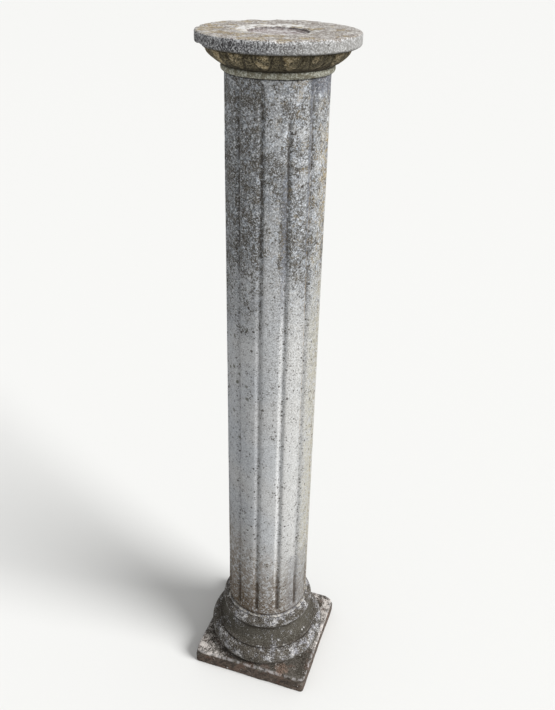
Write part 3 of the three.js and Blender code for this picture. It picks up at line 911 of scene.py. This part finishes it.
def base_stone():
    """Dark earthy stone with pale crusts of lichen, thickest on the round mouldings and edges."""
    s = Stone("base_stone_finish")
    hollow, small_hollows, crust_place = s.marks("hollow", "small_hollows", "crust")
    grain = s.cloud(2.0, 21, detail=2, roughness=0.7)
    earth = s.cloud(26, 22, detail=5)
    s.colour = s.mix(s.between(earth, 0.4, 0.62), (62, 57, 49), (84, 79, 72))
    s.coat((116, 112, 106), s.between(grain, 0.52, 0.64))
    s.coat((44, 39, 33), s.between(grain, 0.48, 0.38), 0.7)
    in_scotia = s.band(s.z, FILLET_LOW + 2 * MM, FILLET_LOW + 6 * MM, SCOTIA_TOP - 6 * MM, SCOTIA_TOP)
    s.coat((64, 62, 54), in_scotia, 0.42)
    side_cloud = s.cloud(10, 29, detail=5, roughness=0.65, stretch=(1, 1, 2.2))
    side_colour = s.mix(s.between(side_cloud, 0.42, 0.58), (52, 43, 37), (92, 79, 70))
    s.coat(side_colour, s.near(s.z, PLINTH_HEIGHT, 2, -2), s.between(s.upward(), 0.45, -0.05), 0.8)
    on_plinth = s.near(s.z, PLINTH_HEIGHT, 4, 0)
    s.coat((128, 88, 72), s.between(s.cloud(18, 30, detail=5), 0.54, 0.62), on_plinth, 0.16)

    fine_field = s.times(s.cloud(2.6, 23, detail=3, roughness=0.7), 0.56)
    bare_front = s.times(s.strip(PLAIN_BAND + 1, 24), -1.3)
    patches = s.add(s.strip(-116, 32), s.strip(-38, 30), bare_front)
    on_torus = s.band(s.z, PLINTH_HEIGHT + 3 * MM, PLINTH_HEIGHT + 8 * MM, FILLET_LOW - 4 * MM, FILLET_LOW)
    field = s.add(fine_field, s.times(s.cloud(15, 28, detail=3), 0.44), s.sway(crust_place, 0.17))
    field = s.add(field, s.times(patches, on_torus, 0.018))
    crust = s.between(field, 0.525, 0.565)
    crust_colour = s.mix(s.between(s.cloud(8, 24), 0.42, 0.58), (146, 146, 151), (192, 191, 190))
    crust_colour = s.over(crust_colour, ((90, 88, 89), s.between(grain, 0.5, 0.56), 0.8))
    on_plinth = s.near(s.z, PLINTH_HEIGHT, 3, 1)
    crust_colour = s.over(crust_colour, ((226, 217, 208), on_plinth, 0.62))
    bare = s.times(on_plinth, s.between(s.cloud(10, 33, roughness=0.65), 0.5, 0.57))
    crust = s.times(crust, s.invert(s.times(bare, 0.7)))
    s.coat(crust_colour, crust, 0.95)
    spots = s.dots(14, 0.2, 0.17, 25)
    s.coat((188, 187, 184), spots, 0.8)
    # Painted shade in the creases between the mouldings
    painted_crease_shade = s.between(s.add(hollow, s.sway(earth, 0.5)), 0.2, 0.65)
    s.coat((34, 29, 24), painted_crease_shade, 0.9)
    # Painted shade under the upper torus, at the top of the scotia
    level = s.add(s.z, s.sway(earth, 12 * MM))
    s.coat((40, 35, 28), s.near(level, SCOTIA_TOP, -11, -3, 1, 5), 0.8)
    # Painted shade in the crease where the torus meets the fillet
    fillet_crease_shade = s.near(s.z, FILLET_LOW, -1.6, -0.4, 1, 2)
    s.coat((42, 38, 33), fillet_crease_shade, s.between(earth, 0.36, 0.5))
    # Paler worn edge along the plinth's top, partly a painted highlight
    edge_cloud = s.cloud(9, 26, detail=5, roughness=0.65)
    s.coat((166, 163, 163), s.mark("edge"), s.between(edge_cloud, 0.44, 0.54), 0.62)
    top_rim = s.near(s.z, BASE_HIGH.z, -3, -1)
    s.coat((190, 184, 172), top_rim, s.between(s.cloud(6, 34), 0.46, 0.56), 0.55)
    # A reddish scuff on the plinth's top, near its front right corner
    from_scuff = s.vector("ADD", s.place, (-68 * MM, 99 * MM, -PLINTH_HEIGHT))
    from_scuff = s.add(s.vector("LENGTH", from_scuff, output="Value"), s.times(earth, 30 * MM))
    s.coat((160, 130, 112), s.between(from_scuff, 32 * MM, 24 * MM), s.between(grain, 0.42, 0.54), 0.42)
    pits = s.dots(8, 0.3, 0.2, 27)
    s.coat((34, 30, 26), pits, 0.7)
    # Painted shade in the small hollows of the surface
    s.coat((40, 35, 30), s.between(small_hollows, 0.25, 0.9), 0.6)
    relief = s.add(s.times(grain, 0.5), s.times(crust, 0.5), s.times(pits, -1.2))
    return s.finish(s.add(0.84, s.times(grain, 0.14)), relief, 0.8 * MM)


def slab_colour(s, grain, broad):
    """The slab: salt and pepper round its edge with painted light on the side towards the sun, paler and
    blotched with ochre and mauve on top.
    """
    side = s.over(
        s.mix(s.between(grain, 0.43, 0.51), (60, 58, 59), (104, 104, 106)),
        ((172, 173, 174), s.between(grain, 0.53, 0.6)),
        ((90, 90, 94), s.between(broad, 0.48, 0.64), 0.35),
        ((160, 162, 166), s.between(broad, 0.46, 0.36), 0.35),
        # Painted light on the slab's side towards the sun
        ((188, 186, 180), s.toward(-5, 0, 120), 0.35),
    )
    fine_pale = s.times(s.cloud(4, 47, detail=3, roughness=0.68), 0.6)
    pale_cloud = s.add(fine_pale, s.times(s.cloud(18, 35), 0.4))
    mauve = s.between(s.cloud(5.5, 43, roughness=0.6), 0.52, 0.58)
    ochre_cloud = s.add(s.cloud(22, 44, detail=5), s.times(s.around(-125), 0.1))
    top = s.over(
        s.mix(s.between(grain, 0.42, 0.54), (108, 100, 94), (170, 165, 158)),
        ((208, 206, 202), s.between(pale_cloud, 0.49, 0.55), 0.8),
        ((100, 84, 80), mauve, s.between(grain, 0.58, 0.48), 0.75),
        ((152, 132, 84), s.between(ochre_cloud, 0.575, 0.65), s.between(grain, 0.42, 0.5), 0.6),
    )
    outer = s.between(s.far(), 109.5 * MM, 112.5 * MM)
    high = s.near(s.z, CAPITAL_HIGH.z, -6, -2)
    paler_left = s.between(s.add(pale_cloud, s.times(s.around(-120), 0.1)), 0.53, 0.58)
    whole = s.mix(s.between(s.upward(), 0.55, 0.85), side, top)
    return s.over(whole, ((212, 213, 214), outer, high, paler_left, s.between(grain, 0.42, 0.56), 0.55))


def recess_colour(s, top):
    """The recess: a pale worn lip, painted shade in its wall and a mauve-grey floor."""
    far = s.far()
    radius = s.add(far, s.sway(s.cloud(16, 48), 12 * MM))
    lip = s.times(s.near(radius, RECESS_RADIUS, 0.5, 2.5), s.near(radius, LIP_RADIUS, 6, 0))
    lip = s.times(lip, s.between(s.add(s.cloud(14, 49, detail=5), s.times(s.x, -1.0)), 0.46, 0.58))
    floor = s.near(far, RECESS_RADIUS, 0.5, -2)
    patches = s.between(s.cloud(6, 50, roughness=0.65), 0.42, 0.58)
    floor_colour = s.mix(patches, (128, 114, 114), (186, 182, 181))
    snow_cloud = s.add(s.cloud(8, 53, detail=3), s.times(s.y, 0.8))
    # Painted shade in the recess wall
    wall = s.near(far, RECESS_RADIUS, -5.4, -4, 0.4, 1.2)
    return s.over(
        top,
        ((226, 226, 224), lip, 0.72),
        (floor_colour, floor, 0.75),
        ((220, 219, 218), floor, s.between(snow_cloud, 0.55, 0.6), 0.6),
        ((84, 70, 66), wall, 0.4),
    )


def capital_stone():
    """Speckled grey slab over an olive-brown echinus whose eggs carry ochre crusts."""
    s = Stone("capital_stone_finish")
    hollow, small_hollows, egg = s.marks("hollow", "small_hollows", "egg")
    grain = s.cloud(2.2, 41, detail=2, roughness=0.7)
    broad = s.cloud(24, 42, detail=5)
    lumps = s.cloud(6.5, 45, roughness=0.68)
    s.colour = recess_colour(s, slab_colour(s, grain, broad))
    fine_crust = s.times(s.cloud(3.6, 51, detail=2, roughness=0.65), 0.42)
    crust_cloud = s.add(fine_crust, s.times(s.cloud(14, 52, detail=2), 0.58), s.times(egg, 0.05))
    crust = s.times(s.between(crust_cloud, 0.535, 0.59), s.between(egg, 0.05, 0.6))
    crust_colour = s.mix(s.between(grain, 0.44, 0.58), (112, 98, 68), (178, 164, 136))
    # Painted shade in the creases under the slab and above the bead, and in the carving's hollows
    shade_under_slab = s.near(s.z, SLAB_LOW, -5, -1.5)
    shade_above_bead = s.near(s.z, BEAD_TOP, 7, 1)
    echinus = s.over(
        s.mix(s.between(lumps, 0.42, 0.58), (50, 44, 31), (96, 88, 68)),
        ((130, 122, 100), s.between(grain, 0.53, 0.62), 0.6),
        ((36, 31, 20), s.between(grain, 0.46, 0.38), 0.7),
        (crust_colour, crust, 0.75),
        ((36, 31, 20), s.between(hollow, 0.35, 0.9), 0.3),
        ((34, 29, 19), shade_under_slab, 0.75),
        ((36, 31, 21), shade_above_bead, 0.75),
        ((44, 38, 26), s.toward(0, 0, 100), 0.3),
    )
    s.coat(echinus, s.near(s.z, SLAB_LOW, 3.5, -0.5))
    bead = s.over(
        s.mix(s.between(grain, 0.42, 0.54), (106, 104, 92), (150, 150, 138)),
        ((186, 188, 180), s.between(grain, 0.56, 0.64), 0.6),
        ((92, 86, 68), s.between(lumps, 0.5, 0.57), 0.7),
        # Painted shade along the bead's top, under the echinus
        ((46, 40, 28), s.near(s.z, BEAD_TOP, -3, 0)),
    )
    s.coat(bead, s.near(s.z, BEAD_TOP, 0.5, -1.5))
    joint = s.near(s.z, CAPITAL_LOW.z, 1.8, 0.4)
    s.coat((46, 37, 28), joint, s.between(lumps, 0.36, 0.5))
    pits = s.dots(7, 0.2, 0.2, 46)
    s.coat((50, 45, 42), pits, 0.7)
    # Painted shade in the small hollows of the surface
    s.coat((52, 47, 40), s.between(small_hollows, 0.25, 0.9), 0.5)
    relief = s.add(s.times(grain, 0.6), s.times(lumps, 0.6), s.times(pits, -1.0))
    return s.finish(s.add(0.84, s.times(grain, 0.14)), relief, 0.9 * MM)


def add_floor():
    """A wide pale floor under the column."""
    half = FLOOR_HALF
    corners = [(-half, -half, 0), (half, -half, 0), (half, half, 0), (-half, half, 0)]
    mesh = bpy.data.meshes.new("floor")
    mesh.from_pydata(corners, [], [(0, 1, 2, 3)])
    material = bpy.data.materials.new("pale_floor")
    material.use_nodes = True
    shader = material.node_tree.nodes["Principled BSDF"]
    shader.inputs["Base Color"].default_value = paint(228, 228, 226)
    shader.inputs["Roughness"].default_value = 0.9
    mesh.materials.append(material)
    floor = bpy.data.objects.new("floor", mesh)
    bpy.context.scene.collection.objects.link(floor)


def add_camera():
    """A camera that stands and looks as the photograph's did."""
    turn = Matrix.Rotation(COLUMN_TURN, 4, "Z")
    stand = Matrix.Translation((0, -CAMERA_DISTANCE, CAMERA_HEIGHT))
    yaw = Matrix.Rotation(-CAMERA_YAW, 4, "Z")
    pitch = Matrix.Rotation(math.pi / 2 - CAMERA_PITCH, 4, "X")
    roll = Matrix.Rotation(CAMERA_ROLL, 4, "Z")
    data = bpy.data.cameras.new("camera")
    data.sensor_width = SENSOR
    data.lens = FOCAL_PIXELS / IMAGE_HEIGHT * SENSOR
    camera = bpy.data.objects.new("camera", data)
    camera.matrix_world = turn @ stand @ yaw @ pitch @ roll
    bpy.context.scene.collection.objects.link(camera)
    bpy.context.scene.camera = camera


def add_sun():
    """A wide soft sun to the right of the way that the camera looks from."""
    a = COLUMN_TURN + math.radians(SUN_TURN)
    e = math.radians(SUN_RISE)
    way = Vector((math.sin(a) * math.cos(e), -math.cos(a) * math.cos(e), math.sin(e)))
    data = bpy.data.lights.new("soft_sun", "SUN")
    data.angle = math.radians(SUN_SOFTNESS)
    data.energy = SUN_POWER
    lamp = bpy.data.objects.new("soft_sun", data)
    lamp.location = way * 4
    lamp.rotation_mode = "QUATERNION"
    lamp.rotation_quaternion = (-way).to_track_quat("-Z", "Y")
    bpy.context.scene.collection.objects.link(lamp)


def add_lighting():
    """A pale sky all round, and a broad soft sun from the front right."""
    world = bpy.data.worlds.new("pale_sky")
    world.use_nodes = True
    background = world.node_tree.nodes["Background"]
    background.inputs["Color"].default_value = (1, 1, 1, 1)
    background.inputs["Strength"].default_value = SKY_STRENGTH
    bpy.context.scene.world = world
    add_sun()
    bpy.context.scene.view_settings.view_transform = "Standard"


add_camera()
add_floor()
add_lighting()
make_base(base_stone())
make_shaft(shaft_stone())
make_capital(capital_stone())
